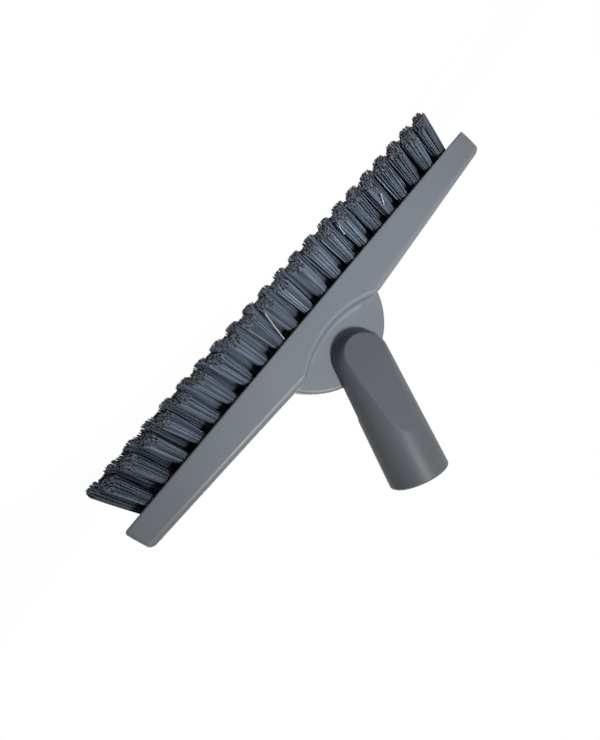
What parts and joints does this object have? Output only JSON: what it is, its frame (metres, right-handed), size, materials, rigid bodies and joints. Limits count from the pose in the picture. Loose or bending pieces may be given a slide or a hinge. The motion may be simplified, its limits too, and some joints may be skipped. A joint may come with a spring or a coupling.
{
  "type": "grout brush",
  "caption": "Long narrow scrubbing brush with three staggered rows of V-trimmed tufts and a swivelling socket for a pole.",
  "frame": {"origin": "on the surface that the bristle tips stand on, under the middle of the block", "axes": "+X along the block, +Y from its front to its back, +Z from the bristle tips towards the pole"},
  "size_m": [0.229, 0.0278, 0.1118],
  "materials": {
    "block": "satin moulded polypropylene",
    "socket": "satin moulded polypropylene, darker",
    "bristle": "stiff nylon filament",
    "screw": "zinc plated",
    "anchor": "drawn flat wire"
  },
  "bodies": {
    "head": {"brush_block": "block", "tuft_anchors": "anchor", "tuft_pair_1": "bristle", "tuft_pair_2": "bristle", "tuft_pair_3": "bristle", "tuft_pair_4": "bristle", "tuft_pair_5": "bristle", "tuft_pair_6": "bristle", "tuft_pair_7": "bristle", "tuft_pair_8": "bristle", "tuft_pair_9": "bristle", "tuft_pair_10": "bristle", "tuft_pair_11": "bristle", "tuft_pair_12": "bristle", "tuft_pair_13": "bristle", "tuft_pair_14": "bristle", "tuft_pair_15": "bristle", "tuft_pair_16": "bristle", "tuft_pair_17": "bristle", "tuft_pair_18": "bristle", "tuft_pair_19": "bristle", "tuft_pair_20": "bristle", "tuft_pair_21": "bristle", "tuft_middle_1": "bristle", "tuft_middle_2": "bristle", "tuft_middle_3": "bristle", "tuft_middle_4": "bristle", "tuft_middle_5": "bristle", "tuft_middle_6": "bristle", "tuft_middle_7": "bristle", "tuft_middle_8": "bristle", "tuft_middle_9": "bristle", "tuft_middle_10": "bristle", "tuft_middle_11": "bristle", "tuft_middle_12": "bristle", "tuft_middle_13": "bristle", "tuft_middle_14": "bristle", "tuft_middle_15": "bristle", "tuft_middle_16": "bristle", "tuft_middle_17": "bristle", "tuft_middle_18": "bristle", "tuft_middle_19": "bristle", "tuft_middle_20": "bristle", "tuft_middle_21": "bristle", "tuft_middle_22": "bristle"},
    "socket": {"swivel_socket": "socket", "pivot_screw": "screw"}
  },
  "joints": [
    {"name": "socket_swivel", "type": "hinge", "parent": "head", "child": "socket", "pos_m": [0, 0, 0.0533], "axis": [0, 1, 0], "range_deg": [-98, 50]}
  ]
}
